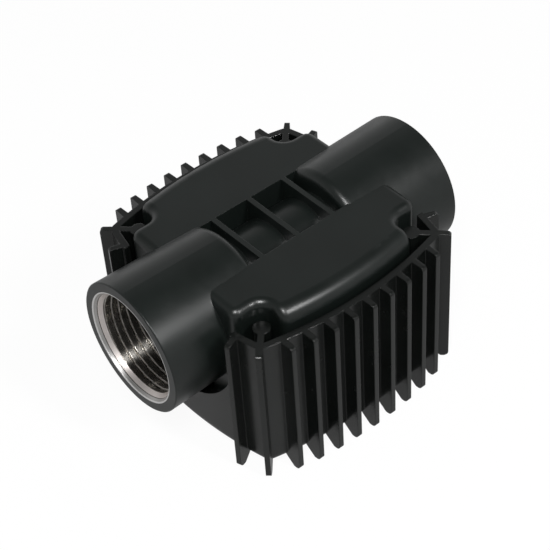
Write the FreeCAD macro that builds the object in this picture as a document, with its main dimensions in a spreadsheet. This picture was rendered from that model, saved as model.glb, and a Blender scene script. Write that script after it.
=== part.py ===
"""Inline turbine flow meter with a finned display housing, lying on its display side.

Frame: millimetres, +Z up. The flow axis runs along X, the display faces -Z and the fins'
feet stand on z = 0. The origin is the bottom centre of the whole meter.
"""
import FreeCAD, Part

import os

import Sketcher

MM = {
    # case: the finned sleeve round the meter
    "rim_height": 47.65,
    "case_half_length": 37.0,
    "case_half_width": 37.0,
    "end_wall_bend": 125.0,
    "side_wall_bend": 125.0,
    "case_corner": 3.0,
    "case_wall": 2.0,
    "case_foot": 2.5,
    "case_foot_round": 2.6,
    "lower_wall": 3.6,
    "ledge_height": 12.0,
    "saddle_radius": 22.9,
    # fins of the sleeve
    "fin_tip": 1.5,
    "fin_root": 2.0,
    "fin_foot_round": 1.5,
    "fin_foot_flat": 2.3,
    "fin_foot_rise": 2.7,
    "fin_top_round": 1.0,
    "fin_embed": 1.2,
    "corner_fin_angle": 46.0,
    "corner_fin_length": 5.05,
    "end_fin_angle": 20.0,
    "end_fin_length": 5.2,
    "post_x": 26.9,
    "post_y": 26.7,
    "post_radius": 2.5,
    "post_rib": 1.9,
    "post_rib_length": 6.4,
    "corner_fin_x": 31.2,
    "corner_fin_y": 31.0,
    "end_fin_x": 33.2,
    "end_fin_y": 24.1,
    "lug_x": 14.0,
    "lug_y": 29.4,
    "lug_radius": 3.0,
    "lug_thick": 2.0,
    "lug_screw_hole": 1.3,
    # body: tube, chamber and the two lobes
    "axis_height": 37.2,
    "half_length": 51.4,
    "socket_radius": 20.0,
    "socket_inner_radius": 19.3,
    "socket_inner_end": 16.5,
    "socket_round": 2.8,
    "socket_chamfer": 0.3,
    "chamber_radius": 13.0,
    "bore_radius": 11.0,
    "lobe_top": 53.0,
    "lobe_inner": 10.5,
    "lobe_half_length": 32.8,
    "lobe_half_width": 33.4,
    "lobe_round": 4.4,
    "lobe_edge": 2.4,
    "lobe_wall": 2.0,
    "notch_radius": 3.9,
    "lobe_corner": 3.0,
    "flange_low": 12.3,
    "flange_high": 14.1,
    "flange_gap": 0.4,
    "core_half_length": 29.0,
    "rib_pitch": 12.7,
    "rib_thick": 1.6,
    # thread inserts, G 1 female
    "insert_length": 20.0,
    "insert_radius": 18.0,
    "insert_lip": 17.1,
    "lip_flat": 0.1,
    "lip_length": 1.4,
    "thread_minor": 15.15,
    "thread_mouth": 16.45,
    "mouth_depth": 2.3,
    "mouth_chamfer": 0.9,
    # turbine
    "rotor_half": 6.2,
    "rotor_tip": 10.4,
    "rotor_hub": 3.6,
    "shaft_radius": 1.0,
    "shaft_half": 12.2,
    "bearing_radius": 2.0,
    "bearing_start": 8.4,
    "bearing_length": 3.8,
    "running_gap": 0.04,
    "seat_gap": 0.02,
    "support_start": 8.2,
    "support_end": 16.0,
    "support_hub": 3.4,
    "support_wall": 1.0,
    "vane_thick": 1.0,
    "ring_start": 16.3,
    "ring_thick": 0.9,
    "ring_groove": 11.7,
    "hub_cone": 0.8,
    "blade_root_height": 2.2,
    "blade_middle_height": 6.9,
    "blade_count": 6,
    "blade_chord": 11.0,
    "blade_flat": 5.5,
    "blade_thick": 1.1,
    "blade_root_angle": 18.0,
    "blade_middle_angle": 34.0,
    "blade_tip_angle": 48.0,
    "magnet_length": 2.0,
    "magnet_radius": 2.6,
    "nose_length": 2.5,
    "nose_tip": 0.85,
    "end_play": 0.1,
    "ring_inside": 0.9,
    "ring_opening": 5.0,
    # screws and their seats
    "screw_pilot": 1.0,
    "screw_radius": 1.2,
    "screw_gap": 0.2,
    "screw_length": 7.0,
    "board_screw_length": 4.5,
    "head_radius": 1.9,
    "head_height": 1.3,
    "head_room": 0.3,
    "pilot_depth": 8.0,
    "boss_radius": 2.6,
    "boss_height": 10.0,
    # display side
    "panel_low": 2.5,
    "panel_high": 5.0,
    "panel_gap": 0.3,
    "window_x": 46.0,
    "window_y": 26.0,
    "window_centre": 5.0,
    "window_flange": 2.0,
    "window_gap": 0.3,
    "gasket_thick": 0.6,
    "button_x": 12.0,
    "button_y": -17.0,
    "button_radius": 4.5,
    "button_gap": 0.3,
    "button_low": 1.4,
    "button_stem": 6.7,
    "button_collar": 6.0,
    "collar_gap": 0.1,
    "collar_thick": 1.0,
    "stem_radius": 2.0,
    "switch_side": 6.0,
    "switch_low": 8.2,
    "plunger_low": 7.6,
    "window_plate": 1.4,
    "lens_low": 3.3,
    "glass_x": 42.0,
    "glass_y": 22.0,
    "glass_gap": 0.1,
    "glass_thick": 1.9,
    "strip_width": 2.0,
    "standoff_x": 27.5,
    "standoff_y": 10.0,
    "standoff_radius": 2.2,
    "board_low": 10.0,
    "board_thick": 1.6,
    "board_half_x": 29.5,
    "board_half_y": 23.0,
    # cells
    "cell_radius": 5.25,
    "cell_y": 16.9,
    "cell_height": 17.65,
    "cell_half": 21.65,
    "cell_nub": 1.2,
    "cell_nub_radius": 1.9,
    "tray_half": 26.4,
    "tray_wall": 1.2,
    "tray_floor": 0.7,
    "tray_half_width": 20.4,
    "tray_opening": 12.4,
    "tray_bridge": 18.0,
    "bridge_half": 2.0,
    "tray_high": 20.0,
    "contact_thick": 0.4,
    "contact_half": 2.2,
    "spring_thick": 0.3,
    "spring_width": 5.0,
    "spring_half": 2.0,
    "spring_nose": 0.5,
    "spring_tail": 0.9,
    "sensor_gap": 0.3,
    "sensor_height": 1.5,
    "sensor_half_x": 2.0,
    "sensor_half_y": 1.5,
    "sensor_board_half_x": 8.0,
    "sensor_board_half_y": 5.0,
    "header_x": -5.2,
    "header_half": 1.3,
    "chip_x": 8.0,
    "chip_half": 5.0,
    "chip_thick": 1.4,
    # how far a cutting shape runs past the face it leaves
    "past": 1.0,
}

# where the fins of one half side stand and how far out they reach
SIDE_FINS = [(0.0, 41.35), (6.45, 41.1), (13.0, 40.7), (19.5, 39.85), (25.85, 38.45)]

# how close two lengths must be to count as the same
NEAR = 0.01

doc = FreeCAD.newDocument("turbine_flow_meter")
sheet = doc.addObject("Spreadsheet::Sheet", "Sizes")
for row, (alias, value) in enumerate(MM.items(), start=1):
    sheet.set("A%d" % row, alias)
    sheet.set("B%d" % row, str(value))
    sheet.setAlias("B%d" % row, alias)
doc.recompute()


class Size:
    """A number and the sheet expression that gives it."""

    def __init__(self, value, text):
        self.value = value
        self.text = text

    def joined(self, other, sign, value):
        return Size(value, "(%s %s %s)" % (self.text, sign, other.text))

    def __add__(self, other):
        other = size(other)
        return self.joined(other, "+", self.value + other.value)

    def __sub__(self, other):
        other = size(other)
        return self.joined(other, "-", self.value - other.value)

    def __mul__(self, other):
        other = size(other)
        return self.joined(other, "*", self.value * other.value)

    def __truediv__(self, other):
        other = size(other)
        return self.joined(other, "/", self.value / other.value)

    def __neg__(self):
        return self * -1


def size(number):
    if isinstance(number, Size):
        return number
    return Size(float(number), "(%s)" % number)


def cell(alias):
    return Size(MM[alias], "Sizes." + alias)


def bind(thing, prop, number):
    """Tie one property of an object to the sheet."""
    thing.setExpression(prop, size(number).text)


# ---------------------------------------------------------------- sketches and features

def new_body(label):
    body = doc.addObject("PartDesign::Body", label)
    body.Label = label
    return body


def sketch_on(body, name, plane, lift=0, x=0, y=0, turn=0):
    """A sketch on one of the body's origin planes, moved and turned within it."""
    support = [face for face in body.Origin.OriginFeatures if face.Role == plane + "_Plane"]
    sketch = body.newObject("Sketcher::SketchObject", name)
    sketch.AttachmentSupport = [(support[0], "")]
    sketch.MapMode = "FlatFace"
    bind(sketch, "AttachmentOffset.Base.x", x)
    bind(sketch, "AttachmentOffset.Base.y", y)
    bind(sketch, "AttachmentOffset.Base.z", lift)
    bind(sketch, "AttachmentOffset.Rotation.Angle", turn)
    return sketch


def add_limits(sketch, limits):
    """Add dimensions, each tied to the sheet: (kind, geometry, point or None, size)."""
    for kind, item, point, number in limits:
        number = size(number)
        if point is None:
            index = sketch.addConstraint(Sketcher.Constraint(kind, item, number.value))
        else:
            index = sketch.addConstraint(Sketcher.Constraint(kind, item, point, number.value))
        sketch.setExpression("Constraints[%d]" % index, number.text)


def bend_middle(start, end, radius, side):
    """The middle of an arc from start to end, bulging to its left (1) or right (-1)."""
    chord = end - start
    half = chord.Length / 2
    rise = radius - (radius * radius - half * half) ** 0.5
    across = FreeCAD.Vector(-chord.y, chord.x, 0).normalize()
    return (start + end) / 2 + across * rise * side


def draw_loop(sketch, corners):
    """A closed outline. Each corner is (x, y) or (x, y, radius, side): with a radius, the
    stretch to the next corner is an arc that bulges to the left (1) or right (-1)."""
    places = [FreeCAD.Vector(size(c[0]).value, size(c[1]).value, 0) for c in corners]
    limits = []
    ends = []
    for index, corner in enumerate(corners):
        start = places[index]
        end = places[(index + 1) % len(corners)]
        if len(corner) == 2:
            item = sketch.addGeometry(Part.LineSegment(start, end), False)
            ends.append((item, 1, 2))
            continue
        middle = bend_middle(start, end, size(corner[2]).value, corner[3])
        item = sketch.addGeometry(Part.Arc(start, middle, end), False)
        backwards = (sketch.getPoint(item, 1) - start).Length > 1e-6
        ends.append((item, 2, 1) if backwards else (item, 1, 2))
        limits.append(("Radius", item, None, corner[2]))
    for index, corner in enumerate(corners):
        item, start_point, _ = ends[index]
        before, _, end_point = ends[index - 1]
        sketch.addConstraint(
            Sketcher.Constraint("Coincident", before, end_point, item, start_point))
        limits.append(("DistanceX", item, start_point, corner[0]))
        limits.append(("DistanceY", item, start_point, corner[1]))
    add_limits(sketch, limits)


def draw_circle(sketch, x, y, radius):
    x = size(x)
    y = size(y)
    radius = size(radius)
    centre = FreeCAD.Vector(x.value, y.value, 0)
    item = sketch.addGeometry(
        Part.Circle(centre, FreeCAD.Vector(0, 0, 1), radius.value), False)
    add_limits(sketch, [
        ("DistanceX", item, 3, x),
        ("DistanceY", item, 3, y),
        ("Radius", item, None, radius),
    ])


def draw_rectangle(sketch, low_x, low_y, high_x, high_y):
    draw_loop(sketch, [(low_x, low_y), (high_x, low_y), (high_x, high_y), (low_x, high_y)])


def pad(body, name, sketch, length, reverse=False, middle=False):
    feature = body.newObject("PartDesign::Pad", name)
    feature.Profile = sketch
    bind(feature, "Length", length)
    feature.Reversed = reverse
    feature.SideType = "Symmetric" if middle else "One side"
    sketch.Visibility = False
    doc.recompute()
    return feature


def cut_away(body, name, kind, sketch, prepare):
    """A pocket or groove, checked to have taken material off."""
    before = body.Shape.Volume
    feature = body.newObject("PartDesign::" + kind, name)
    feature.Profile = sketch
    prepare(feature)
    doc.recompute()
    if not body.Shape.Volume < before - 1e-3:
        raise RuntimeError(name + " cuts nothing")
    return feature


def pocket(body, name, sketch, depth, reverse=False, middle=False):
    def prepare(feature):
        bind(feature, "Length", depth)
        feature.Reversed = reverse
        feature.SideType = "Symmetric" if middle else "One side"
    return cut_away(body, name, "Pocket", sketch, prepare)


def revolve(body, name, sketch):
    feature = body.newObject("PartDesign::Revolution", name)
    feature.Profile = sketch
    feature.ReferenceAxis = (sketch, ["H_Axis"])
    feature.Angle = 360
    doc.recompute()
    return feature


def groove(body, name, sketch):
    def prepare(feature):
        feature.ReferenceAxis = (sketch, ["H_Axis"])
        feature.Angle = 360
    return cut_away(body, name, "Groove", sketch, prepare)


def dress(body, name, kind, amount, choose):
    """A fillet or chamfer on the tip's edges that choose() accepts."""
    base = body.Tip
    names = []
    for index, edge in enumerate(base.Shape.Edges, start=1):
        if choose(edge):
            names.append("Edge%d" % index)
    if not names:
        raise RuntimeError(name + " found no edges")
    feature = body.newObject("PartDesign::" + kind, name)
    feature.Base = (base, names)
    bind(feature, "Radius" if kind == "Fillet" else "Size", amount)
    doc.recompute()
    return feature


def mirrored(body, name, originals, planes):
    """Copies of features over the body's own planes."""
    many = body.newObject("PartDesign::MultiTransform", name)
    many.Originals = originals
    steps = []
    for plane in planes:
        step = doc.addObject("PartDesign::Mirrored", name + "_" + plane)
        body.addObject(step)
        support = [f for f in body.Origin.OriginFeatures if f.Role == plane + "_Plane"]
        step.MirrorPlane = (support[0], [""])
        steps.append(step)
    many.Transformations = steps
    body.Tip = many
    doc.recompute()
    return many


def is_upright(edge):
    if len(edge.Vertexes) != 2 or not isinstance(edge.Curve, Part.Line):
        return False
    low, high = [corner.Point for corner in edge.Vertexes]
    return abs(low.x - high.x) < 1e-4 and abs(low.y - high.y) < 1e-4


def at_height(edge, height):
    return all(abs(corner.Z - height) < 1e-4 for corner in edge.Vertexes)


# ---------------------------------------------------------------- plain solids

def block(name, low, high):
    """A box from its low corner to its high corner."""
    thing = doc.addObject("Part::Box", name)
    low = [size(number) for number in low]
    high = [size(number) for number in high]
    for side, base, start, end in zip(("Length", "Width", "Height"), "xyz", low, high):
        bind(thing, side, end - start)
        bind(thing, "Placement.Base." + base, start)
    return thing


def rod(name, radius, start, end, x=0, y=0):
    """An upright cylinder from height start to height end."""
    thing = doc.addObject("Part::Cylinder", name)
    bind(thing, "Radius", radius)
    bind(thing, "Height", size(end) - start)
    bind(thing, "Placement.Base.x", x)
    bind(thing, "Placement.Base.y", y)
    bind(thing, "Placement.Base.z", start)
    return thing


def bar(name, radius, start, end, y, z):
    """A cylinder along X from start to end."""
    thing = doc.addObject("Part::Cylinder", name)
    thing.Placement.Rotation = FreeCAD.Rotation(FreeCAD.Vector(0, 1, 0), 90)
    bind(thing, "Radius", radius)
    bind(thing, "Height", size(end) - start)
    bind(thing, "Placement.Base.x", start)
    bind(thing, "Placement.Base.y", y)
    bind(thing, "Placement.Base.z", z)
    return thing


def cut(name, base, tool):
    thing = doc.addObject("Part::Cut", name)
    thing.Base = base
    thing.Tool = tool
    return thing


def fuse(name, pieces):
    thing = doc.addObject("Part::MultiFuse", name)
    thing.Shapes = pieces
    return thing


def group(name, pieces):
    thing = doc.addObject("Part::Compound", name)
    thing.Links = pieces
    return thing


def quadrants():
    return [(-1, -1), (1, -1), (-1, 1), (1, 1)]


# ---------------------------------------------------------------- finned housing

def bow(bend, across):
    """How far a bowed wall falls back at a distance across from its middle."""
    value = bend.value - (bend.value ** 2 - across.value ** 2) ** 0.5
    text = "(%s - sqrt(%s ^ 2 - %s ^ 2))" % (bend.text, bend.text, across.text)
    return Size(value, text)


def draw_barrel(sketch, inset):
    """The housing's plan, four bowed walls, moved inwards by inset."""
    half_x = cell("case_half_length") - inset
    half_y = cell("case_half_width") - inset
    end_bend = cell("end_wall_bend") - inset
    side_bend = cell("side_wall_bend") - inset
    corner_x = half_x.value - bow(end_bend, half_y - cell("case_corner")).value
    corner_y = half_y.value - bow(side_bend, half_x - cell("case_corner")).value
    corners = [
        FreeCAD.Vector(-corner_x, -corner_y, 0),
        FreeCAD.Vector(corner_x, -corner_y, 0),
        FreeCAD.Vector(corner_x, corner_y, 0),
        FreeCAD.Vector(-corner_x, corner_y, 0),
    ]
    middles = [
        FreeCAD.Vector(0, -half_y.value, 0),
        FreeCAD.Vector(half_x.value, 0, 0),
        FreeCAD.Vector(0, half_y.value, 0),
        FreeCAD.Vector(-half_x.value, 0, 0),
    ]
    centres = [
        (size(0), side_bend - half_y),
        (half_x - end_bend, size(0)),
        (size(0), half_y - side_bend),
        (end_bend - half_x, size(0)),
    ]
    bends = [side_bend, end_bend, side_bend, end_bend]
    arcs = []
    for index in range(4):
        arc = Part.Arc(corners[index], middles[index], corners[(index + 1) % 4])
        arcs.append(sketch.addGeometry(arc, False))
    limits = []
    for index, arc in enumerate(arcs):
        after = arcs[(index + 1) % 4]
        sketch.addConstraint(Sketcher.Constraint("Coincident", arc, 2, after, 1))
        limits.append(("Radius", arc, None, bends[index]))
        limits.append(("DistanceX", arc, 3, centres[index][0]))
        limits.append(("DistanceY", arc, 3, centres[index][1]))
    add_limits(sketch, limits)


def fin(body, name, x, y, turn, length):
    """One fin: a tapered plate from its root at x, y, pointing along turn degrees, with
    its foot cut back slantwise under the wall."""
    sketch = sketch_on(body, name + "_plan", "XY", x=x, y=y, turn=turn)
    root = cell("fin_root") / 2
    tip = cell("fin_tip") / 2
    draw_loop(sketch, [(0, -root), (length, -tip), (length, tip), (0, root)])
    plate = pad(body, name, sketch, cell("rim_height"))
    side = sketch_on(body, name + "_foot", "XY", x=x, y=y)
    side.setExpression("AttachmentOffset.Rotation.Angle", None)
    side.AttachmentOffset.Rotation = (
        FreeCAD.Rotation(FreeCAD.Vector(0, 0, 1), size(turn).value)
        * FreeCAD.Rotation(FreeCAD.Vector(1, 0, 0), 90))
    draw_loop(side, [(0, 0), (size(length) - cell("fin_foot_flat"), 0),
                     (0, cell("fin_foot_rise"))])
    slant = pocket(body, name + "_slant", side, cell("fin_root") * 2, middle=True)
    return [plate, slant]


def make_finned_housing():
    body = new_body("finned_housing")
    rim = cell("rim_height")
    foot = cell("case_foot")

    plan = sketch_on(body, "case_plan", "XY", lift=foot)
    draw_barrel(plan, size(0))
    pad(body, "case", plan, rim - foot)
    dress(body, "case_corners", "Fillet", cell("case_corner"), is_upright)
    dress(body, "case_foot_round", "Fillet", cell("case_foot_round"),
          lambda edge: at_height(edge, foot.value))

    upper = sketch_on(body, "upper_room_plan", "XY", lift=cell("ledge_height"))
    draw_barrel(upper, cell("case_wall"))
    pocket(body, "upper_room", upper, rim, reverse=True)
    lower = sketch_on(body, "lower_room_plan", "XY")
    draw_barrel(lower, cell("lower_wall"))
    pocket(body, "lower_room", lower, rim, reverse=True)

    saddle = sketch_on(body, "saddle_plan", "YZ")
    axis = cell("axis_height")
    radius = cell("saddle_radius")
    over = rim + cell("past")
    draw_loop(saddle, [
        (-radius, axis, radius, -1),
        (size(0), axis - radius, radius, -1),
        (radius, axis),
        (radius, over),
        (-radius, over),
    ])
    pocket(body, "saddle", saddle, cell("half_length") * 2, middle=True)

    fins = []
    side_bend = cell("side_wall_bend")
    embed = cell("fin_embed")
    for index, (x, tip) in enumerate(SIDE_FINS):
        wall = cell("case_half_width") - bow(side_bend, size(x)) - embed
        fins += fin(body, "side_fin_%d" % index, x, wall, 90, size(tip) - wall)
    fins += fin(body, "corner_fin", cell("corner_fin_x"), cell("corner_fin_y"),
                cell("corner_fin_angle"), cell("corner_fin_length"))
    fins += fin(body, "end_fin", cell("end_fin_x"), cell("end_fin_y"),
                cell("end_fin_angle"), cell("end_fin_length"))

    post = sketch_on(body, "post_plan", "XY", lift=cell("panel_high"))
    draw_circle(post, cell("post_x"), cell("post_y"), cell("post_radius"))
    fins.append(pad(body, "post", post, rim - cell("panel_high")))
    rib = sketch_on(body, "post_rib_plan", "XY", lift=cell("panel_high"),
                    x=cell("post_x"), y=cell("post_y"), turn=cell("corner_fin_angle"))
    half_rib = cell("post_rib") / 2
    draw_rectangle(rib, 0, -half_rib, cell("post_rib_length"), half_rib)
    fins.append(pad(body, "post_rib", rib, rim - cell("panel_high")))
    lug = sketch_on(body, "lug_plan", "XY", lift=cell("ledge_height") - cell("lug_thick"))
    x, y, radius = cell("lug_x"), cell("lug_y"), cell("lug_radius")
    into_wall = cell("case_half_width") - cell("case_wall")
    draw_loop(lug, [
        (x - radius, y, radius, -1),
        (x, y - radius, radius, -1),
        (x + radius, y),
        (x + radius, into_wall),
        (x - radius, into_wall),
    ])
    fins.append(pad(body, "lug", lug, cell("lug_thick")))
    mirrored(body, "all_corners", fins, ["YZ", "XZ"])
    dress(body, "fin_feet", "Fillet", cell("fin_foot_round"),
          lambda edge: is_fin_tip(edge, 0))
    dress(body, "fin_tops", "Fillet", cell("fin_top_round"),
          lambda edge: is_fin_tip(edge, rim.value))

    holes = sketch_on(body, "lug_hole_plan", "XY")
    for side_x, side_y in quadrants():
        draw_circle(holes, x * side_x, y * side_y, cell("lug_screw_hole"))
    pocket(body, "lug_holes", holes, rim, reverse=True)
    pilots = sketch_on(body, "post_pilot_plan", "XY")
    for side_x, side_y in quadrants():
        draw_circle(pilots, cell("post_x") * side_x, cell("post_y") * side_y,
                    cell("screw_pilot"))
    pocket(body, "post_pilots", pilots, cell("panel_high") + cell("pilot_depth"), reverse=True)


def is_fin_tip(edge, height):
    """The short outer edge of a fin, at its foot or its top."""
    if not at_height(edge, height) or abs(edge.Length - MM["fin_tip"]) > NEAR:
        return False
    middle = edge.CenterOfMass
    past_end = abs(middle.x) > MM["case_half_length"] - MM["case_corner"]
    return past_end or abs(middle.y) > MM["case_half_width"]


# ---------------------------------------------------------------- meter body

def draw_notches(sketch):
    """The four corners that stay clear of the housing's posts."""
    notch_x = cell("post_x") - cell("notch_radius")
    notch_y = cell("post_y") - cell("notch_radius")
    half_x = cell("lobe_half_length")
    far = cell("half_length")
    corner = cell("lobe_corner")
    for side_x, side_y in quadrants():
        turn = side_x * side_y
        draw_loop(sketch, [
            (notch_x * side_x, far * side_y),
            (notch_x * side_x, cell("post_y") * side_y, cell("notch_radius"), -turn),
            (cell("post_x") * side_x, notch_y * side_y),
            ((half_x - corner) * side_x, notch_y * side_y, corner, turn),
            (half_x * side_x, (notch_y - corner) * side_y),
            (far * side_x, (notch_y - corner) * side_y),
            (far * side_x, far * side_y),
        ])


def well_side(inside):
    """One lobe's hollow from its inner side outwards, with a wall round the notches."""
    wall = cell("lobe_wall")
    bend = cell("side_wall_bend") - wall
    end_x = cell("lobe_half_length") - wall
    step_x = cell("post_x") - cell("notch_radius") - wall
    step_y = cell("post_y") - cell("notch_radius") - wall
    round_post = cell("notch_radius") + wall
    side_y = cell("lobe_half_width") - wall - bow(bend, step_x)
    return [
        (end_x, inside),
        (end_x, step_y),
        (cell("post_x"), step_y, round_post, 1),
        (step_x, cell("post_y")),
        (step_x, side_y, bend, -1),
        (-step_x, side_y),
        (-step_x, cell("post_y"), round_post, 1),
        (-cell("post_x"), step_y),
        (-end_x, step_y),
        (-end_x, inside),
    ]


def turned_about(corners):
    """The same corners turned half a turn about the origin."""
    return [(-corner[0], -corner[1]) + tuple(corner[2:]) for corner in corners]


def make_meter_body():
    body = new_body("meter_body")
    low = cell("flange_low")
    high = cell("flange_high")
    top = cell("lobe_top")
    axis = cell("axis_height")
    inner = cell("lobe_inner")
    half_x = cell("lobe_half_length")
    half_y = cell("lobe_half_width")
    bend = cell("side_wall_bend")
    wall = cell("lobe_wall")

    flange = sketch_on(body, "flange_plan", "XY", lift=low)
    draw_barrel(flange, cell("case_wall") + cell("flange_gap"))
    pad(body, "flange", flange, high - low)

    lobes = sketch_on(body, "lobes_plan", "XY", lift=high)
    side_end = half_y - bow(bend, half_x)
    draw_loop(lobes, [
        (-half_x, inner), (half_x, inner), (half_x, side_end, bend, -1), (-half_x, side_end)])
    draw_loop(lobes, [
        (half_x, -inner), (-half_x, -inner), (-half_x, -side_end, bend, -1),
        (half_x, -side_end)])
    pad(body, "lobes", lobes, top - high)
    dress(body, "lobe_shoulders", "Fillet", cell("lobe_round"),
          lambda edge: at_height(edge, top.value) and abs(edge.CenterOfMass.x) < NEAR
          and abs(edge.CenterOfMass.y) > inner.value + NEAR)

    core = sketch_on(body, "core_plan", "XY", lift=high)
    draw_rectangle(core, -cell("core_half_length"), -inner, cell("core_half_length"), inner)
    pad(body, "core", core, axis - high)

    ribs = sketch_on(body, "ribs_plan", "XY", lift=axis)
    half_rib = cell("rib_thick") / 2
    for place in (-1, 0, 1):
        middle = cell("rib_pitch") * place
        draw_rectangle(ribs, middle - half_rib, -inner, middle + half_rib, inner)
    pad(body, "ribs", ribs, top - axis)

    notch_x = cell("post_x") - cell("notch_radius")
    notch_y = cell("post_y") - cell("notch_radius")
    notches = sketch_on(body, "notches_plan", "XY")
    draw_notches(notches)
    pocket(body, "notches", notches, top + cell("past"), reverse=True)
    dress(body, "lobe_edges", "Fillet", cell("lobe_edge"),
          lambda edge: on_lobe_rim(edge, notch_x.value, notch_y.value))

    well = sketch_on(body, "well_plan", "XY", lift=low)
    inside = inner + wall
    draw_loop(well, well_side(inside))
    draw_loop(well, turned_about(well_side(inside)))
    pocket(body, "lobe_wells", well, top - wall - low, reverse=True)
    room = sketch_on(body, "room_plan", "XY", lift=low)
    room_x = cell("core_half_length") - wall
    draw_rectangle(room, -room_x, -inside, room_x, inside)
    pocket(body, "core_room", room, axis - low, reverse=True)

    heads = sketch_on(body, "board_screw_room_plan", "XY", lift=low)
    for side_x, side_y in quadrants():
        draw_circle(heads, cell("standoff_x") * side_x, cell("standoff_y") * side_y,
                    cell("head_radius") + cell("head_room"))
    pocket(body, "board_screw_rooms", heads, cell("head_height") - cell("head_room"),
           reverse=True)

    bosses = sketch_on(body, "screw_boss_plan", "XY", lift=low)
    for side_x, side_y in quadrants():
        draw_circle(bosses, cell("lug_x") * side_x, cell("lug_y") * side_y,
                    cell("boss_radius"))
    pad(body, "screw_bosses", bosses, cell("boss_height"))
    pilots = sketch_on(body, "screw_pilot_plan", "XY", lift=low)
    for side_x, side_y in quadrants():
        draw_circle(pilots, cell("lug_x") * side_x, cell("lug_y") * side_y,
                    cell("screw_pilot"))
    pocket(body, "screw_pilots", pilots, cell("pilot_depth"), reverse=True)

    tube = sketch_on(body, "tube_profile", "XZ", y=axis)
    socket = cell("socket_radius")
    narrow = cell("socket_inner_radius")
    chamber = cell("chamber_radius")
    end = cell("half_length")
    start = cell("socket_inner_end")
    edge = cell("socket_chamfer")
    bulge = cell("socket_round")
    draw_loop(tube, [
        (-end, 0),
        (end, 0),
        (end, socket - edge),
        (end - edge, socket),
        (start + bulge, narrow, bulge, -1),
        (start, narrow - bulge),
        (start, chamber),
        (-start, chamber),
        (-start, narrow - bulge, bulge, -1),
        (-start - bulge, narrow),
        (-end + edge, socket),
        (-end, socket - edge),
    ])
    revolve(body, "tube", tube)

    passage = sketch_on(body, "passage_profile", "XZ", y=axis)
    bore = cell("bore_radius")
    seat = end - cell("insert_length")
    lip = end - cell("lip_length")
    gap = cell("seat_gap")
    ring_low = cell("ring_start") - gap * 2
    ring_high = cell("ring_start") + cell("ring_thick") + gap * 2
    past = end + cell("past")
    half = [
        (ring_low, bore),
        (ring_low, cell("ring_groove")),
        (ring_high, cell("ring_groove")),
        (ring_high, bore),
        (seat, bore),
        (seat, cell("insert_radius") + gap),
        (lip, cell("insert_radius") + gap),
        (lip, cell("insert_lip") + gap),
        (past, cell("insert_lip") + gap),
    ]
    other_half = [(-x, r) for x, r in reversed(half)]
    draw_loop(passage, [(past, 0)] + [(-past, 0)] + other_half + half)
    groove(body, "passage", passage)


def on_lobe_rim(edge, notch_x, notch_y):
    """The lobes' top edges at their ends and round the corner notches."""
    middle = edge.CenterOfMass
    lowest = min(corner.Z for corner in edge.Vertexes)
    if is_upright(edge) or lowest < MM["lobe_top"] - MM["lobe_round"] - NEAR:
        return False
    beyond_notch = abs(middle.x) > notch_x - NEAR and abs(middle.y) > notch_y - NEAR
    at_corner = abs(middle.x) > MM["lobe_half_length"] - MM["lobe_corner"] + NEAR
    return (beyond_notch or at_corner) and abs(middle.y) > MM["lobe_inner"] + NEAR


# ---------------------------------------------------------------- ports and turbine

def make_insert(label, side):
    """A steel female-thread insert; side is -1 for the inlet end, 1 for the outlet end."""
    body = new_body(label)
    profile = sketch_on(body, label + "_profile", "XZ", y=cell("axis_height"))
    end = cell("half_length")
    seat = end - cell("insert_length")
    lip = end - cell("lip_length")
    mouth = end - cell("mouth_depth")
    chamfer = end - cell("mouth_chamfer")
    steps = [
        (seat, cell("thread_minor")),
        (mouth, cell("thread_minor")),
        (mouth, cell("thread_mouth")),
        (chamfer, cell("thread_mouth")),
        (end, cell("insert_lip") - cell("lip_flat")),
        (end, cell("insert_lip")),
        (lip, cell("insert_lip")),
        (lip, cell("insert_radius")),
        (seat, cell("insert_radius")),
    ]
    draw_loop(profile, [(x * side, radius) for x, radius in steps])
    revolve(body, label + "_ring", profile)


def make_support(label, side):
    """A ring with vanes that straightens the flow and holds one bearing in its hub."""
    body = new_body(label)
    axis = cell("axis_height")
    start = cell("support_start") * side
    end = cell("support_end") * side
    outer = cell("bore_radius") - cell("seat_gap") * 2
    inner = outer - cell("support_wall")
    hub = cell("support_hub")

    ring = sketch_on(body, label + "_ring_profile", "XZ", y=axis)
    draw_rectangle(ring, start, inner, end, outer)
    revolve(body, label + "_ring", ring)

    vanes = sketch_on(body, label + "_vane_plan", "YZ", y=axis, lift=start)
    half = cell("vane_thick") / 2
    reach = outer - cell("support_wall") / 2
    draw_loop(vanes, [
        (half, half), (half, reach), (-half, reach), (-half, half), (-reach, half),
        (-reach, -half), (-half, -half), (-half, -reach), (half, -reach), (half, -half),
        (reach, -half), (reach, half)])
    pad(body, label + "_vanes", vanes, cell("support_end") - cell("support_start"),
        reverse=side < 0)

    nose = sketch_on(body, label + "_hub_profile", "XZ", y=axis)
    tip = end + cell("nose_length") * side
    draw_loop(nose, [(start, 0), (tip, 0), (tip, cell("nose_tip")), (end, hub), (start, hub)])
    revolve(body, label + "_hub", nose)

    seat = sketch_on(body, label + "_seat_profile", "XZ", y=axis)
    deep = (cell("shaft_half") + cell("end_play")) * side
    mouth = start - cell("past") * side
    seat_radius = cell("bearing_radius") + cell("seat_gap")
    draw_rectangle(seat, mouth, 0, deep, seat_radius)
    groove(body, label + "_seat", seat)


def make_bearing(label, side):
    body = new_body(label)
    profile = sketch_on(body, label + "_profile", "XZ", y=cell("axis_height"))
    start = cell("bearing_start") * side
    end = (cell("bearing_start") + cell("bearing_length")) * side
    draw_rectangle(profile, start, cell("shaft_radius") + cell("running_gap"),
                   end, cell("bearing_radius"))
    revolve(body, label + "_bush", profile)


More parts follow.
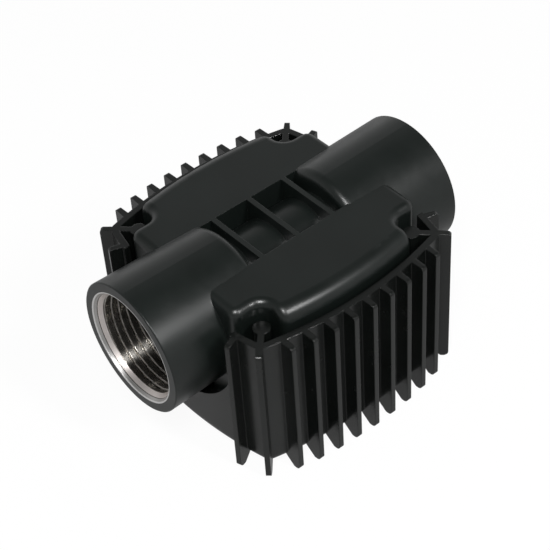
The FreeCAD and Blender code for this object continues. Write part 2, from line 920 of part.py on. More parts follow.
def make_retaining_ring(label, side):
    """An open spring ring in its groove."""
    body = new_body(label)
    profile = sketch_on(body, label + "_plan", "YZ", y=cell("axis_height"),
                        lift=cell("ring_start") * side)
    draw_circle(profile, 0, 0, cell("ring_groove") - cell("seat_gap") * 2)
    draw_circle(profile, 0, 0, cell("bore_radius") - cell("ring_inside"))
    pad(body, label + "_wire", profile, cell("ring_thick"), reverse=side < 0)
    opening = sketch_on(body, label + "_opening", "XZ", y=cell("axis_height"))
    draw_rectangle(opening, -cell("half_length"), 0, cell("half_length"),
                   cell("socket_radius"))
    pocket(body, label + "_gap", opening, cell("ring_opening"), middle=True)


def make_rotor():
    """The turbine wheel: a domed hub and six helical blades, lofted root to tip."""
    body = new_body("turbine_rotor")
    axis = cell("axis_height")
    half = cell("rotor_half")
    hub = cell("rotor_hub")

    core = sketch_on(body, "hub_profile", "XZ", y=axis)
    cone = cell("hub_cone")
    draw_loop(core, [
        (-half, 0), (half, 0), (half, hub - cone), (half - cone, hub), (-half + cone, hub),
        (-half, hub - cone)])
    revolve(body, "hub", core)

    sections = []
    for name, height, angle in (
            ("blade_root", cell("blade_root_height"), cell("blade_root_angle")),
            ("blade_middle", cell("blade_middle_height"), cell("blade_middle_angle")),
            ("blade_tip", cell("rotor_tip") + cell("past"), cell("blade_tip_angle"))):
        section = sketch_on(body, name, "XY", lift=axis + height, turn=angle)
        long = cell("blade_chord") / 2
        flat = cell("blade_flat") / 2
        thick = cell("blade_thick") / 2
        draw_loop(section, [
            (-long, 0), (-flat, -thick), (flat, -thick), (long, 0), (flat, thick),
            (-flat, thick)])
        sections.append(section)
    blade = body.newObject("PartDesign::AdditiveLoft", "blade")
    blade.Profile = sections[0]
    blade.Sections = sections[1:]
    blade.Ruled = False
    doc.recompute()
    line = sketch_on(body, "spin_line", "XZ", y=axis)
    line.addGeometry(Part.LineSegment(FreeCAD.Vector(-1, 0, 0), FreeCAD.Vector(1, 0, 0)), True)
    wheel = body.newObject("PartDesign::PolarPattern", "blades")
    wheel.Originals = [blade]
    wheel.Axis = (line, ["H_Axis"])
    wheel.Angle = 360
    bind(wheel, "Occurrences", cell("blade_count"))
    body.Tip = wheel
    doc.recompute()

    far = half + cell("past")
    rim = sketch_on(body, "tip_trim", "XZ", y=axis)
    draw_rectangle(rim, -far, cell("rotor_tip"), far, cell("rotor_tip") + cell("past") * 2)
    groove(body, "trimmed_tips", rim)
    hole = sketch_on(body, "shaft_hole_profile", "XZ", y=axis)
    draw_rectangle(hole, -far, 0, far, cell("shaft_radius") + cell("seat_gap"))
    groove(body, "shaft_hole", hole)
    seat = sketch_on(body, "magnet_seat_profile", "XZ", y=axis)
    draw_rectangle(seat, half - cell("magnet_length"), 0, far,
                   cell("magnet_radius") + cell("seat_gap"))
    groove(body, "magnet_seat", seat)


def make_magnet():
    body = new_body("rotor_magnet")
    profile = sketch_on(body, "magnet_profile", "XZ", y=cell("axis_height"))
    half = cell("rotor_half")
    draw_rectangle(profile, half - cell("magnet_length") + cell("seat_gap"),
                   cell("shaft_radius") + cell("seat_gap"), half, cell("magnet_radius"))
    revolve(body, "magnet_ring", profile)


def make_shaft():
    half = cell("shaft_half")
    return bar("rotor_shaft", cell("shaft_radius"), -half, half, 0, cell("axis_height"))


# ---------------------------------------------------------------- display side

def make_front_panel():
    body = new_body("front_panel")
    low = cell("panel_low")
    high = cell("panel_high")
    plan = sketch_on(body, "panel_plan", "XY", lift=low)
    draw_barrel(plan, cell("lower_wall") + cell("panel_gap"))
    pad(body, "panel", plan, high - low)
    dress(body, "panel_corners", "Fillet", cell("case_corner"), is_upright)

    posts = sketch_on(body, "standoff_plan", "XY", lift=low)
    for side_x, side_y in quadrants():
        draw_circle(posts, cell("standoff_x") * side_x, cell("standoff_y") * side_y,
                    cell("standoff_radius"))
    pad(body, "standoffs", posts, cell("board_low") - low)

    openings = sketch_on(body, "opening_plan", "XY")
    half_x = cell("window_x") / 2
    half_y = cell("window_y") / 2
    middle = cell("window_centre")
    draw_rectangle(openings, -half_x, middle - half_y, half_x, middle + half_y)
    for side in (-1, 1):
        draw_circle(openings, cell("button_x") * side, cell("button_y"),
                    cell("button_radius") + cell("button_gap"))
    for side_x, side_y in quadrants():
        draw_circle(openings, cell("post_x") * side_x, cell("post_y") * side_y,
                    cell("screw_radius") + cell("screw_gap"))
    pocket(body, "openings", openings, high + cell("past"), reverse=True)

    heads = sketch_on(body, "head_seat_plan", "XY", lift=low)
    for side_x, side_y in quadrants():
        draw_circle(heads, cell("post_x") * side_x, cell("post_y") * side_y,
                    cell("head_radius") + cell("screw_gap"))
    pocket(body, "head_seats", heads, cell("head_height"), reverse=True)
    pilots = sketch_on(body, "standoff_pilot_plan", "XY", lift=cell("board_low"))
    for side_x, side_y in quadrants():
        draw_circle(pilots, cell("standoff_x") * side_x, cell("standoff_y") * side_y,
                    cell("screw_pilot"))
    pocket(body, "standoff_pilots", pilots, cell("board_low") - high)


def make_window_parts():
    middle = cell("window_centre")
    half_x = cell("window_x") / 2
    half_y = cell("window_y") / 2
    rim = cell("window_flange")
    gap = cell("window_gap")
    past = cell("past")
    seat = cell("panel_high")
    plate = seat + cell("gasket_thick")
    top = plate + cell("window_plate")

    outer = block("gasket_outside", (-half_x - rim, middle - half_y - rim, seat),
                  (half_x + rim, middle + half_y + rim, plate))
    inner = block("gasket_inside", (-half_x, middle - half_y, seat - past),
                  (half_x, middle + half_y, plate + past))
    gasket = cut("window_gasket", outer, inner)

    flange = block("window_plate", (-half_x - rim, middle - half_y - rim, plate),
                   (half_x + rim, middle + half_y + rim, top))
    lens = block("window_lens", (-half_x + gap, middle - half_y + gap, cell("lens_low")),
                 (half_x - gap, middle + half_y - gap, plate))
    window = fuse("display_window", [flange, lens])

    glass_x = cell("glass_x") / 2
    glass_y = cell("glass_y") / 2
    glass_low = top + cell("glass_gap")
    glass_high = glass_low + cell("glass_thick")
    glass = block("lcd_panel", (-glass_x, middle - glass_y, glass_low),
                  (glass_x, middle + glass_y, glass_high))
    board = cell("board_low")
    frame_outside = block("frame_outside", (-half_x, middle - half_y, glass_low),
                          (half_x, middle + half_y, board))
    frame_inside = block(
        "frame_inside", (-glass_x - gap, middle - glass_y - gap, glass_low - past),
        (glass_x + gap, middle + glass_y + gap, board + past))
    frame = cut("lcd_frame", frame_outside, frame_inside)
    strips = []
    for side in (-1, 1):
        near = middle + (glass_y - cell("strip_width") / 2) * side - cell("strip_width") / 2
        strips.append(block("strip_%d" % (side + 1), (-glass_x, near, glass_high),
                            (glass_x, near + cell("strip_width"), board)))
    return [gasket, window, glass, frame, group("zebra_strips", strips)]


def make_button(label, side):
    """A push button: cap through the panel, collar behind it and a stem to its switch."""
    x = cell("button_x") * side
    y = cell("button_y")
    behind = cell("panel_high") + cell("collar_gap")
    collar_top = behind + cell("collar_thick")
    cap = rod(label + "_cap", cell("button_radius"), cell("button_low"), collar_top, x, y)
    collar = rod(label + "_collar", cell("button_collar"), behind, collar_top, x, y)
    stem = rod(label + "_stem", cell("stem_radius"), behind, cell("button_stem"), x, y)
    return fuse(label, [cap, collar, stem])


def make_switches():
    switches = []
    for side in (-1, 1):
        x = cell("button_x") * side
        y = cell("button_y")
        half = cell("switch_side") / 2
        case = block("switch_case_%d" % (side + 1), (x - half, y - half, cell("switch_low")),
                     (x + half, y + half, cell("board_low")))
        plunger = rod("switch_plunger_%d" % (side + 1), cell("stem_radius"),
                      cell("plunger_low"), cell("board_low"), x, y)
        switches.append(fuse("switch_%d" % (side + 1), [case, plunger]))
    return group("button_switches", switches)


def make_board():
    """The main circuit board, with clearance holes over the panel's standoffs."""
    body = new_body("circuit_board")
    plan = sketch_on(body, "board_plan", "XY", lift=cell("board_low"))
    half_x = cell("board_half_x")
    half_y = cell("board_half_y")
    draw_rectangle(plan, -half_x, -half_y, half_x, half_y)
    for side_x, side_y in quadrants():
        draw_circle(plan, cell("standoff_x") * side_x, cell("standoff_y") * side_y,
                    cell("screw_radius") + cell("screw_gap"))
    pad(body, "board", plan, cell("board_thick"))


def make_sensor_parts():
    board_top = cell("board_low") + cell("board_thick")
    top = cell("axis_height") - cell("chamber_radius") - cell("sensor_gap")
    plate_high = top - cell("sensor_height")
    plate_low = plate_high - cell("board_thick")
    long = cell("sensor_half_x")
    wide = cell("sensor_half_y")
    sensor = block("pickup_sensor", (-long, -wide, plate_high), (long, wide, top))
    plate_x = cell("sensor_board_half_x")
    plate_y = cell("sensor_board_half_y")
    plate = block("sensor_board", (-plate_x, -plate_y, plate_low),
                  (plate_x, plate_y, plate_high))
    middle = cell("header_x")
    half = cell("header_half")
    header = block("sensor_header", (middle - half, -half, board_top),
                   (middle + half, half, plate_low))
    middle = cell("chip_x")
    half = cell("chip_half")
    chip = block("processor_chip", (middle - half, -half, board_top),
                 (middle + half, half, board_top + cell("chip_thick")))
    return [sensor, plate, header, chip]


def make_battery_parts():
    board_top = cell("board_low") + cell("board_thick")
    radius = cell("cell_radius")
    y = cell("cell_y")
    z = cell("cell_height")
    half = cell("cell_half")
    nub = cell("cell_nub")
    cells = []
    for label, side in (("left_battery", -1), ("right_battery", 1)):
        can = bar(label + "_can", radius, -half, half, y * side, z)
        cap = bar(label + "_cap", cell("cell_nub_radius"), half, half + nub, y * side, z)
        cells.append(fuse(label, [can, cap]))

    end = cell("tray_half")
    wall = cell("tray_wall")
    floor_top = board_top + cell("tray_floor")
    wide = cell("tray_half_width")
    narrow = cell("tray_opening")
    pieces = []
    for side in (-1, 1):
        low_y = narrow if side > 0 else -wide
        high_y = wide if side > 0 else -narrow
        pieces.append(block("tray_floor_%d" % (side + 1), (-end, low_y, board_top),
                            (end, high_y, floor_top)))
        for edge in (-1, 1):
            wall_x = (end - wall / 2) * edge - wall / 2
            pieces.append(block(
                "tray_end_%d%d" % (side + 1, edge + 1), (wall_x, low_y, board_top),
                (wall_x + wall, high_y, cell("tray_high"))))
    half_bridge = cell("bridge_half")
    for edge in (-1, 1):
        bridge_x = cell("tray_bridge") * edge
        pieces.append(block(
            "tray_bridge_%d" % (edge + 1), (bridge_x - half_bridge, -wide, board_top),
            (bridge_x + half_bridge, wide, floor_top)))
    tray = fuse("battery_tray", pieces)

    plates = []
    thick = cell("contact_thick")
    reach = cell("contact_half")
    for side in (-1, 1):
        for edge in (-1, 1):
            plate_x = (end - wall - thick / 2) * edge - thick / 2
            plates.append(block(
                "contact_%d%d" % (side + 1, edge + 1),
                (plate_x, y * side - reach, z - reach),
                (plate_x + thick, y * side + reach, z + reach)))
    return cells + [tray, group("battery_contacts", plates)]


def make_battery_springs():
    """The folded leaves that press on the cells' flat ends."""
    body = new_body("battery_springs")
    thick = cell("spring_thick")
    back = cell("tray_wall") + cell("contact_thick") - cell("tray_half")
    nose = -cell("cell_half") - thick
    tail = nose - cell("spring_tail")
    half = cell("spring_half")
    flat = cell("spring_nose")
    crotch = half - (half - flat) * thick / (nose - back)
    for side in (-1, 1):
        leaf = sketch_on(body, "leaf_profile_%d" % (side + 1), "XZ",
                         lift=cell("cell_y") * side, y=cell("cell_height"))
        draw_loop(leaf, [
            (back, -half),
            (back, half),
            (back + thick, half),
            (nose + thick, flat),
            (nose + thick, -flat),
            (tail + thick, -half),
            (tail, -half),
            (nose, -flat),
            (nose, flat),
            (back + thick, crotch),
            (back + thick, -half),
        ])
        pad(body, "leaf_%d" % (side + 1), leaf, cell("spring_width"), middle=True)


def make_body_gasket():
    """The flat seal between the housing's ledge and the body's flange."""
    body = new_body("body_gasket")
    ledge = cell("ledge_height")
    thick = cell("flange_low") - ledge
    plan = sketch_on(body, "gasket_plan", "XY", lift=ledge)
    draw_barrel(plan, cell("case_wall") + cell("flange_gap"))
    pad(body, "gasket", plan, thick)
    notches = sketch_on(body, "gasket_notch_plan", "XY")
    draw_notches(notches)
    pocket(body, "gasket_notches", notches, cell("flange_high"), reverse=True)
    middle = sketch_on(body, "gasket_opening_plan", "XY")
    half = well_side(size(0))
    draw_loop(middle, half[:-1] + turned_about(half)[:-1])
    pocket(body, "gasket_opening", middle, cell("flange_high"), reverse=True)
    ears = sketch_on(body, "gasket_ear_plan", "XY", lift=ledge)
    for side_x, side_y in quadrants():
        draw_circle(ears, cell("lug_x") * side_x, cell("lug_y") * side_y,
                    cell("boss_radius"))
    pad(body, "gasket_ears", ears, thick)
    holes = sketch_on(body, "gasket_hole_plan", "XY")
    for side_x, side_y in quadrants():
        draw_circle(holes, cell("lug_x") * side_x, cell("lug_y") * side_y,
                    cell("lug_screw_hole"))
    pocket(body, "gasket_holes", holes, cell("flange_high"), reverse=True)


def make_screw(name, x, y, head_low, head_high, end):
    """A pan-head screw standing along Z, with its shank on the side where it ends."""
    head = rod(name + "_head", cell("head_radius"), head_low, head_high, x, y)
    low, high = (head_high, end) if end.value > head_high.value else (end, head_low)
    shank = rod(name + "_shank", cell("screw_pilot") - cell("seat_gap"), low, high, x, y)
    return fuse(name, [head, shank])


def make_screws():
    tall = cell("head_height")
    long = cell("screw_length")
    panel_screws = []
    body_screws = []
    board_screws = []
    for index, (side_x, side_y) in enumerate(quadrants()):
        seat = cell("panel_low")
        panel_screws.append(make_screw(
            "panel_screw_%d" % index, cell("post_x") * side_x, cell("post_y") * side_y,
            seat, seat + tall, seat + tall + long))
        seat = cell("ledge_height") - cell("lug_thick") - tall
        body_screws.append(make_screw(
            "body_screw_%d" % index, cell("lug_x") * side_x, cell("lug_y") * side_y,
            seat, seat + tall, seat + tall + long))
        seat = cell("board_low") + cell("board_thick")
        board_screws.append(make_screw(
            "board_screw_%d" % index, cell("standoff_x") * side_x,
            cell("standoff_y") * side_y, seat, seat + tall, seat - cell("board_screw_length")))
    return [
        group("panel_screws", panel_screws),
        group("body_screws", body_screws),
        group("board_screws", board_screws),
    ]


# ---------------------------------------------------------------- build and export

def check(nodes):
    """Stop on a failed object or a node with a bad shape."""
    for thing in doc.Objects:
        if "Invalid" in thing.State or "Error" in thing.State:
            raise RuntimeError("%s failed: %s" % (thing.Name, thing.getStatusString()))
    for node in nodes:
        if node.Shape.isNull() or not node.Shape.isValid():
            raise RuntimeError("%s has a bad shape" % node.Label)


make_finned_housing()
make_meter_body()
make_insert("inlet_thread_insert", -1)
make_insert("outlet_thread_insert", 1)
make_support("upstream_support", -1)
make_support("downstream_support", 1)
make_bearing("upstream_bearing", -1)
make_bearing("downstream_bearing", 1)
make_retaining_ring("upstream_retaining_ring", -1)
make_retaining_ring("downstream_retaining_ring", 1)
make_rotor()
make_magnet()
make_front_panel()
make_board()
make_battery_springs()
make_body_gasket()
plain = [make_shaft()]
plain += make_window_parts()
plain += [make_button("total_button", -1), make_button("reset_button", 1)]
plain += [make_switches()]
plain += make_sensor_parts()
plain += make_battery_parts()
plain += make_screws()
nodes = doc.findObjects("PartDesign::Body") + plain
doc.recompute()
check(nodes)

os.makedirs("parts", exist_ok=True)
for node in nodes:
    node.Shape.exportStep("parts/%s.step" % node.Label)
    print(node.Label, "solids", len(node.Shape.Solids))
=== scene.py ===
"""Looks of the turbine flow meter: materials, the steel inserts' threads and the studio.

Lengths are in metres, written through MM. X is the flow axis and Z points up.
"""
import math

import bmesh
import bpy
from mathutils import Matrix, Vector


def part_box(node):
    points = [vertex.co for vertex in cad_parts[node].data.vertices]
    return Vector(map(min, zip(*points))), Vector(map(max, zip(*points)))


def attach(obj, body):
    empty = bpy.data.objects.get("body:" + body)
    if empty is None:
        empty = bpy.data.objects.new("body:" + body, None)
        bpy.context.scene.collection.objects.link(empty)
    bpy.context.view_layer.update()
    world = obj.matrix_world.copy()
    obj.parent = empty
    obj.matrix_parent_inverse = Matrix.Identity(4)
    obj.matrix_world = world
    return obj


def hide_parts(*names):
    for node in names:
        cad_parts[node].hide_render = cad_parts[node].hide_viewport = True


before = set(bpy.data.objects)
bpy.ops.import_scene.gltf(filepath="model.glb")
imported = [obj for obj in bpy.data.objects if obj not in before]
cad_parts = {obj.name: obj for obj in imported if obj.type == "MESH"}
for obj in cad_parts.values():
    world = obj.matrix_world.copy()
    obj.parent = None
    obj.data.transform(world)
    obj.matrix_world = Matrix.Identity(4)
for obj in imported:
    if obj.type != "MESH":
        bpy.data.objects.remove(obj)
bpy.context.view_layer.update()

MM = 0.001
AXIS_Z = 37.2 * MM  # height of the flow axis


# ------------------------------------------------------------------ camera

CAMERA_AZIMUTH = -37.489
CAMERA_ELEVATION = 43.197
CAMERA_ROLL = -4.261
CAMERA_DISTANCE = 463.07 * MM
TARGET_HEIGHT = 26.02 * MM
MOVED_RIGHT = -0.86 * MM
MOVED_UP = 3.388 * MM
LENS = 105.75
SENSOR_WIDTH = 36
CLIP_START = 0.01


def make_camera():
    azimuth, elevation, roll = (
        math.radians(angle) for angle in (CAMERA_AZIMUTH, CAMERA_ELEVATION, CAMERA_ROLL))
    back = Vector((math.sin(azimuth) * math.cos(elevation),
                   -math.cos(azimuth) * math.cos(elevation), math.sin(elevation)))
    level = Vector((math.cos(azimuth), math.sin(azimuth), 0))
    upright = back.cross(level)
    right = level * math.cos(roll) + upright * math.sin(roll)
    up = upright * math.cos(roll) - level * math.sin(roll)
    place = Vector((0, 0, TARGET_HEIGHT)) + back * CAMERA_DISTANCE
    place += right * MOVED_RIGHT + up * MOVED_UP
    data = bpy.data.cameras.new("camera")
    data.lens = LENS
    data.sensor_width = SENSOR_WIDTH
    data.clip_start = CLIP_START
    camera = bpy.data.objects.new("camera", data)
    bpy.context.scene.collection.objects.link(camera)
    camera.matrix_world = Matrix((
        (right.x, up.x, back.x, place.x),
        (right.y, up.y, back.y, place.y),
        (right.z, up.z, back.z, place.z),
        (0, 0, 0, 1)))
    bpy.context.scene.camera = camera


# ------------------------------------------------------------------ shader nodes

class Nodes:
    """Adds shader nodes to a tree and links them."""

    def __init__(self, tree):
        self.tree = tree

    def add(self, kind, **settings):
        node = self.tree.nodes.new("ShaderNode" + kind)
        for key, value in settings.items():
            setattr(node, key, value)
        return node

    def link(self, source, target):
        self.tree.links.new(source, target)

    def fill(self, node, **values):
        """Write values on a node's sockets, each named with _ for a space."""
        for key, value in values.items():
            node.inputs[key.replace("_", " ")].default_value = value
        return node

    def object_place(self):
        return self.add("TexCoord").outputs["Object"]

    def noise(self, scale, detail=2.0, rough=0.5, vector=None):
        """Noise from 0 to 1, with scale cells in a metre."""
        node = self.fill(self.add("TexNoise"), Scale=scale, Detail=detail, Roughness=rough)
        self.link(vector or self.object_place(), node.inputs["Vector"])
        return node.outputs["Fac"]

    def ranged(self, value, low, high, from_low=0.3, from_high=0.7):
        """Stretch a value to low ... high; noise mostly lies between 0.3 and 0.7."""
        node = self.fill(self.add("MapRange"), From_Min=from_low, From_Max=from_high,
                         To_Min=low, To_Max=high)
        self.link(value, node.inputs["Value"])
        return node.outputs["Result"]

    def between(self, value, low, high):
        """A colour from low to high; the sockets' names repeat, so they go by number."""
        node = self.add("Mix", data_type="RGBA")
        node.inputs[6].default_value = (*low, 1)
        node.inputs[7].default_value = (*high, 1)
        self.link(value, node.inputs["Factor"])
        return node.outputs[2]

    def math(self, operation, first, second=None):
        node = self.add("Math", operation=operation)
        for slot, value in zip(node.inputs, (first, second)):
            if value is None:
                continue
            if isinstance(value, (int, float)):
                slot.default_value = value
            else:
                self.link(value, slot)
        return node.outputs[0]

    def mix(self, share, first, second):
        node = self.add("MixShader")
        self.link(share, node.inputs[0])
        self.link(first.outputs[0], node.inputs[1])
        self.link(second.outputs[0], node.inputs[2])
        return node.outputs[0]

    def bump(self, height, strength, distance, before=None):
        node = self.fill(self.add("Bump"), Strength=strength, Distance=distance)
        self.link(height, node.inputs["Height"])
        if before is not None:
            self.link(before, node.inputs["Normal"])
        return node.outputs["Normal"]

    def rounded(self, radius):
        node = self.fill(self.add("Bevel", samples=4), Radius=radius)
        return node.outputs["Normal"]


class Material(Nodes):
    """A new material, with its main shader at hand."""

    def __init__(self, name):
        self.material = bpy.data.materials.new(name)
        self.material.use_nodes = True
        super().__init__(self.material.node_tree)
        self.shader = self.tree.nodes["Principled BSDF"]

    def feed(self, **sources):
        """Link outputs to the main shader's sockets."""
        for key, source in sources.items():
            self.link(source, self.shader.inputs[key.replace("_", " ")])

    def set(self, **values):
        self.fill(self.shader, **values)


# ------------------------------------------------------------------ materials

GRAIN_DEPTH = 0.03 * MM
MARK_DEPTH = 0.02 * MM
GROOVE_SHADE = 0.82  # how dark the finest turning marks are beside the steel


def moulded(name, dark, light, rough, grain, edge=0.25 * MM):
    """Moulded plastic: slow colour drift, a spark-eroded grain and eased edges."""
    paint = Material(name)
    drift = paint.noise(45, 3)
    cloud = paint.noise(160, 4, 0.6)
    fine = paint.noise(3200, 2, 0.6)
    paint.feed(Base_Color=paint.between(paint.ranged(drift, 0, 1), dark, light),
               Roughness=paint.ranged(cloud, *rough),
               Normal=paint.bump(fine, grain, GRAIN_DEPTH, paint.rounded(edge)))
    return paint.material


def turned_steel(name, colour, rough, marks, stretch=0.96):
    """Turned metal: fine rings round the flow axis."""
    paint = Material(name)
    apart = paint.add("SeparateXYZ")
    paint.link(paint.object_place(), apart.inputs[0])
    high = paint.math("SUBTRACT", apart.outputs["Z"], AXIS_Z)
    square = paint.math("ADD", paint.math("MULTIPLY", high, high),
                        paint.math("MULTIPLY", apart.outputs["Y"], apart.outputs["Y"]))
    joined = paint.add("CombineXYZ")
    paint.link(apart.outputs["X"], joined.inputs["X"])
    paint.link(paint.math("SQRT", square), joined.inputs["Y"])
    rings = paint.noise(9000, 2, 0.6, joined.outputs[0])
    patches = paint.noise(260, 3)
    darker = tuple(channel * GROOVE_SHADE for channel in colour)
    around = paint.add("Tangent", direction_type="RADIAL", axis="X")
    paint.feed(Base_Color=paint.between(paint.ranged(rings, 0, 1), darker, colour),
               Roughness=paint.ranged(patches, *rough),
               Normal=paint.bump(rings, marks, MARK_DEPTH),
               Tangent=around.outputs[0])
    paint.set(Metallic=1.0, Anisotropic=stretch, Anisotropic_Rotation=0.25)
    return paint.material


def plain(name, low, high, rough, metallic=0.0, scale=300, grain=0.1):
    """Small parts: two close tones and a little roughness change."""
    paint = Material(name)
    spots = paint.noise(scale, 3)
    fine = paint.noise(scale * 8, 2)
    paint.feed(Base_Color=paint.between(paint.ranged(spots, 0, 1), low, high),
               Roughness=paint.ranged(spots, rough * 0.85, rough * 1.15),
               Normal=paint.bump(fine, grain, MARK_DEPTH))
    paint.set(Metallic=metallic)
    return paint.material


def clear_window(name):
    paint = Material(name)
    paint.feed(Roughness=paint.ranged(paint.noise(120, 3), 0.03, 0.1))
    paint.set(Base_Color=(0.9, 0.92, 0.92, 1), Transmission_Weight=1.0, IOR=1.49)
    return paint.material


def circuit_green(name):
    """Solder mask with paler lines for the tracks under it."""
    paint = Material(name)
    tracks = paint.fill(
        paint.add("TexBrick", offset=0.5), Scale=220, Mortar_Size=0.03,
        Color1=(0.012, 0.09, 0.035, 1), Color2=(0.014, 0.1, 0.04, 1),
        Mortar=(0.03, 0.17, 0.07, 1))
    paint.link(paint.object_place(), tracks.inputs["Vector"])
    paint.feed(Base_Color=tracks.outputs["Color"],
               Roughness=paint.ranged(paint.noise(400), 0.25, 0.4))
    return paint.material


# name, darkest and lightest colour, lowest and highest roughness
body = moulded("body_plastic", (0.004, 0.0058, 0.005), (0.0062, 0.0086, 0.0077),
               (0.29, 0.36), grain=0.3)
case = moulded("case_plastic", (0.003, 0.0037, 0.0033), (0.0052, 0.0062, 0.0056),
               (0.2, 0.28), grain=0.12, edge=0.45 * MM)
panel = moulded("panel_plastic", (0.012, 0.013, 0.015), (0.018, 0.019, 0.021),
                (0.4, 0.5), grain=0.5)
inner = moulded("inner_plastic", (0.018, 0.018, 0.02), (0.028, 0.028, 0.031),
                (0.4, 0.52), grain=0.3)
rotor = moulded("rotor_plastic", (0.03, 0.031, 0.034), (0.05, 0.051, 0.055),
                (0.3, 0.42), grain=0.15)

# name, colour, lowest and highest roughness, depth of the marks, how far gloss is drawn out
# painted shade: the thread's steel is darkened for the shade inside the bore; the insert's
# end and outside use it too
steel = turned_steel("steel_thread_painted_shade", (0.33, 0.315, 0.29), (0.22, 0.29), 0.8)
# painted glint: a much lighter steel for the thread's flank edges, standing in for light
# from the mouth
painted_glint_steel = turned_steel("steel_painted_glint", (0.75, 0.72, 0.68), (0.36, 0.46), 0.2, 0.5)
# painted highlight: the cone's steel is lightened for the light it catches at the mouth
lit_cone_steel = turned_steel("steel_cone_painted_highlight", (0.88, 0.82, 0.79), (0.42, 0.52), 0.4, 0.5)
# painted shade: the chamfer's steel is a darker grey than the lit cone beside it
shaded_chamfer_steel = turned_steel("steel_chamfer_painted_shade", (0.6, 0.59, 0.58), (0.38, 0.46), 0.3, 0.5)
# painted highlight: the lip's steel is near white for the bright line of light round the
# mouth
lit_lip_steel = turned_steel("steel_lip_painted_highlight", (0.97, 0.96, 0.95), (0.42, 0.5), 0.1, 0.0)

# name, darkest and lightest colour, roughness
screw_steel = plain("screw_steel", (0.55, 0.54, 0.52), (0.68, 0.67, 0.65), 0.28, 1.0)
spring_steel = plain("contact_metal", (0.6, 0.58, 0.52), (0.75, 0.73, 0.66), 0.25, 1.0)
magnet = plain("magnet_plating", (0.3, 0.3, 0.31), (0.42, 0.42, 0.43), 0.25, 1.0)
ceramic = plain("bearing_ceramic", (0.62, 0.6, 0.55), (0.72, 0.7, 0.65), 0.2)
seal = plain("seal_rubber", (0.012, 0.012, 0.013), (0.02, 0.02, 0.021), 0.7)
button = plain("button_rubber", (0.1, 0.105, 0.115), (0.13, 0.135, 0.145), 0.55, grain=0.3)
glass = plain("lcd_glass", (0.2, 0.23, 0.19), (0.23, 0.26, 0.215), 0.22, scale=60)
chip = plain("chip_package", (0.012, 0.012, 0.013), (0.02, 0.02, 0.022), 0.5)
cell = plain("cell_sleeve", (0.09, 0.09, 0.1), (0.12, 0.12, 0.13), 0.3)
board = circuit_green("circuit_board")
window = clear_window("window_acrylic")

FINISH = {
    "meter_body": body, "finned_housing": case, "front_panel": panel,
    "inlet_thread_insert": steel, "outlet_thread_insert": steel,
    "upstream_support": inner, "downstream_support": inner, "lcd_frame": inner,
    "battery_tray": inner, "upstream_bearing": ceramic, "downstream_bearing": ceramic,
    "upstream_retaining_ring": screw_steel, "downstream_retaining_ring": screw_steel,
    "turbine_rotor": rotor, "rotor_shaft": screw_steel, "rotor_magnet": magnet,
    "display_window": window, "window_gasket": seal, "body_gasket": seal,
    "zebra_strips": seal, "lcd_panel": glass, "circuit_board": board,
    "sensor_board": board, "processor_chip": chip, "pickup_sensor": chip,
    "sensor_header": chip, "button_switches": chip, "total_button": button,
    "reset_button": button, "left_battery": cell, "right_battery": cell,
    "battery_contacts": spring_steel, "battery_springs": spring_steel,
    "body_screws": screw_steel, "board_screws": screw_steel, "panel_screws": screw_steel,
}


def dress(thing, material):
    thing.data.materials.clear()
    thing.data.materials.append(material)


for node_name, node_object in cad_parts.items():
    dress(node_object, FINISH[node_name])


# ------------------------------------------------------------------ threaded inserts

THREAD_PITCH = 2.309 * MM
THREAD_DEPTH = 0.85 * MM
THREAD_RUNOUT = 2.45 * MM  # from the tube's end to where the thread stops
CREST_SHARE = 0.6  # part of a pitch that is flat crest
PAINTED_GLINT_SHARE = 0.09  # part of a pitch, next to the crest, given a lighter steel as a painted glint towards the mouth
MINOR_RADIUS = 15.15 * MM
OUTER_RADIUS = 18.0 * MM
FACETS = 144  # round the bore
THREAD_STEPS = 180  # along the bore
SHARP_ANGLE = 40

INSERT_STEELS = (steel, lit_cone_steel, shaded_chamfer_steel, lit_lip_steel, painted_glint_steel)
THREAD, CONE, CHAMFER, LIP, PAINTED_GLINT = range(len(INSERT_STEELS))

# the mouth from the thread outwards and back along the socket: mm in from the tube's end,
# radius in mm, and the steel of the band that starts there, each in its tone of painted
# light and shade
MOUTH = [
    (2.35, 15.2, CONE), (1.15, 16.1, THREAD), (1.12, 16.3, THREAD), (1.0, 16.3, THREAD),
    (0.97, 16.2, CHAMFER), (0.25, 16.68, LIP), (0.08, 16.74, LIP), (0.0, 16.85, LIP),
    (0.0, 17.1, THREAD), (1.4, 17.1, THREAD), (1.4, 18.0, THREAD),
]


def thread_phase(x, turn):
    """How far a place is through its pitch: the groove comes first, then the crest."""
    return (x / THREAD_PITCH - turn) % 1.0


def thread_radius(x, turn):
    """The inner wall's radius at a distance x from the meter's middle: flat crests with
    narrow grooves between them."""
    phase = thread_phase(x, turn)
    groove = 1 - CREST_SHARE
    if phase > groove:
        return MINOR_RADIUS
    return MINOR_RADIUS + THREAD_DEPTH * 0.5 * (1 - math.cos(2 * math.pi * phase / groove))


def insert_rings(start, reach, side):
    """The insert's section as rings of (x, radius), one pair for each facet, from its inner
    end through the bore to the mouth and back, and the steel of the band after each, whose
    tone carries painted light and shade."""
    thread_end = reach - THREAD_RUNOUT
    rings = []
    for step in range(THREAD_STEPS + 1):
        x = start + (thread_end - start) * step / THREAD_STEPS
        rings.append([(x, thread_radius(x, side * k / FACETS)) for k in range(FACETS)])
    painted_tones = [THREAD] * len(rings)
    for inwards, radius, painted_tone in MOUTH:
        rings.append([(reach - inwards * MM, radius * MM)] * FACETS)
        painted_tones.append(painted_tone)
    rings.append([(start, OUTER_RADIUS)] * FACETS)
    painted_tones.append(THREAD)
    return rings, painted_tones


